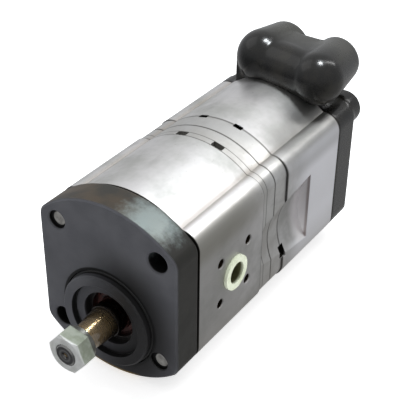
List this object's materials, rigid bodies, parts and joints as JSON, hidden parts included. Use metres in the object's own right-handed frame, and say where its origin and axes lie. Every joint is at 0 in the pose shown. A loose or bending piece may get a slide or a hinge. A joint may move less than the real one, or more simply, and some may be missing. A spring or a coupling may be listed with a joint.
{
  "type": "tandem gear pump",
  "caption": "Tandem hydraulic gear pump with a tapered keyed drive shaft, flange mounting with a pilot, side ports on the front pump and domed rear ports on a cast cover.",
  "frame": {"origin": "on the drive shaft axis, in the front cover's mounting face", "axes": "-Y along the drive shaft, out of the mounting face; +Y back along the pump; +Z from the drive gears to the driven gears; +X to the side with the small port"},
  "size_m": [0.0852, 0.2187, 0.1223],
  "materials": {
    "cover_paint": "dark grey, satin",
    "rear_cover_paint": "black, semi-gloss over a cast skin",
    "aluminium": "drawn and milled, satin",
    "steel": "ground",
    "oiled_steel": "turned, with a brown oil film",
    "zinc": "pale zinc plating",
    "bronze": "lined bearing bush",
    "rubber": "black seal rubber",
    "seal_rubber": "red-brown seal rubber",
    "plug": "pale green-white plastic"
  },
  "bodies": {
    "housing": {"coupling_seal": "rubber", "cover_pin_lower": "steel", "cover_pin_upper": "steel", "front_block_a": "aluminium", "front_block_a_bush_lower": "bronze", "front_block_a_bush_upper": "bronze", "front_block_a_seal": "rubber", "front_block_b": "aluminium", "front_block_b_bush_lower": "bronze", "front_block_b_bush_upper": "bronze", "front_block_b_seal": "rubber", "front_body": "aluminium", "front_cover": "cover_paint", "front_cover_seal": "rubber", "front_plate": "aluminium", "inlet_plug": "plug", "outlet_plug": "plug", "pilot_o_ring": "rubber", "plate_pin_lower": "steel", "plate_pin_upper": "steel", "rear_block_a": "aluminium", "rear_block_a_bush_lower": "bronze", "rear_block_a_bush_upper": "bronze", "rear_block_a_seal": "rubber", "rear_block_b": "aluminium", "rear_block_b_bush_lower": "bronze", "rear_block_b_bush_upper": "bronze", "rear_block_b_seal": "rubber", "rear_body": "aluminium", "rear_body_pin_lower": "steel", "rear_body_pin_upper": "steel", "rear_cover": "rear_cover_paint", "rear_cover_pin_lower": "steel", "rear_cover_pin_upper": "steel", "rear_cover_seal": "rubber", "rear_plate": "aluminium", "rear_plate_seal": "rubber", "seal_circlip": "steel", "shaft_seal": "seal_rubber", "spacer": "aluminium", "spacer_pin_lower": "steel", "spacer_pin_upper": "steel", "spacer_seal": "rubber", "tie_bolt_left": "zinc", "tie_bolt_right": "zinc", "tie_washer_left": "zinc", "tie_washer_right": "zinc"},
    "drive_train": {"drive_shaft": "oiled_steel", "shaft_key": "steel", "lock_washer": "zinc", "shaft_nut": "zinc", "coupling": "steel", "rear_drive_gear": "steel"},
    "front_driven": {"front_driven_gear": "steel"},
    "rear_driven": {"rear_driven_gear": "steel"}
  },
  "joints": [
    {"name": "drive_spin", "type": "hinge", "parent": "housing", "child": "drive_train", "pos_m": [0, 0, 0], "axis": [0, 1, 0], "continuous": true},
    {"name": "front_driven_spin", "type": "hinge", "parent": "housing", "child": "front_driven", "pos_m": [0, 0, 0.0334], "axis": [0, 1, 0], "continuous": true},
    {"name": "rear_driven_spin", "type": "hinge", "parent": "housing", "child": "rear_driven", "pos_m": [0, 0, 0.0334], "axis": [0, 1, 0], "continuous": true}
  ],
  "couplings": [
    {"joint": "front_driven_spin", "follows": "drive_spin", "ratio": -1},
    {"joint": "rear_driven_spin", "follows": "drive_spin", "ratio": -1}
  ]
}
